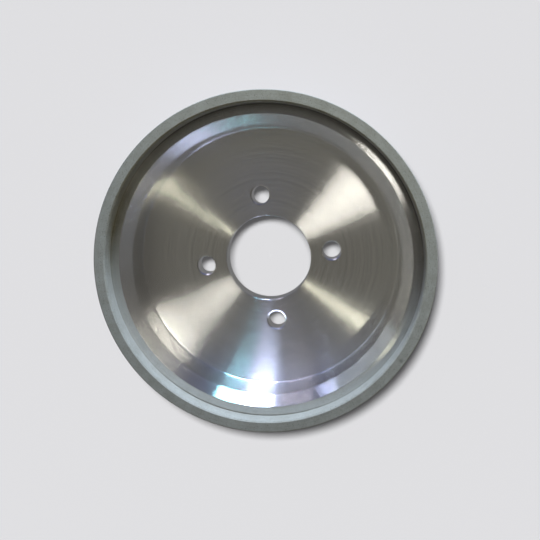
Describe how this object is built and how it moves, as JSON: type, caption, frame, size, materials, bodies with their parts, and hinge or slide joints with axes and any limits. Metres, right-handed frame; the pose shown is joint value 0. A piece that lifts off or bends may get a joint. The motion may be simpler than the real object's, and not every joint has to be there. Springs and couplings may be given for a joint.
{
  "type": "cup grinding wheel",
  "caption": "Flat-backed turned metal cup wheel with a bonded abrasive ring on its rim, a central bore and bolt holes, for face grinding.",
  "frame": {"origin": "centre of the flat back face, on the bore axis", "axes": "+Z along the bore axis towards the grinding face, +X through one of the bolt holes"},
  "size_m": [0.15, 0.15, 0.04],
  "materials": {
    "turned_aluminium": "fine turned, bare metal",
    "vitrified_abrasive": "matte, fine grit"
  },
  "bodies": {
    "root": {"wheel_body": "turned_aluminium", "abrasive_ring": "vitrified_abrasive"}
  },
  "joints": []
}
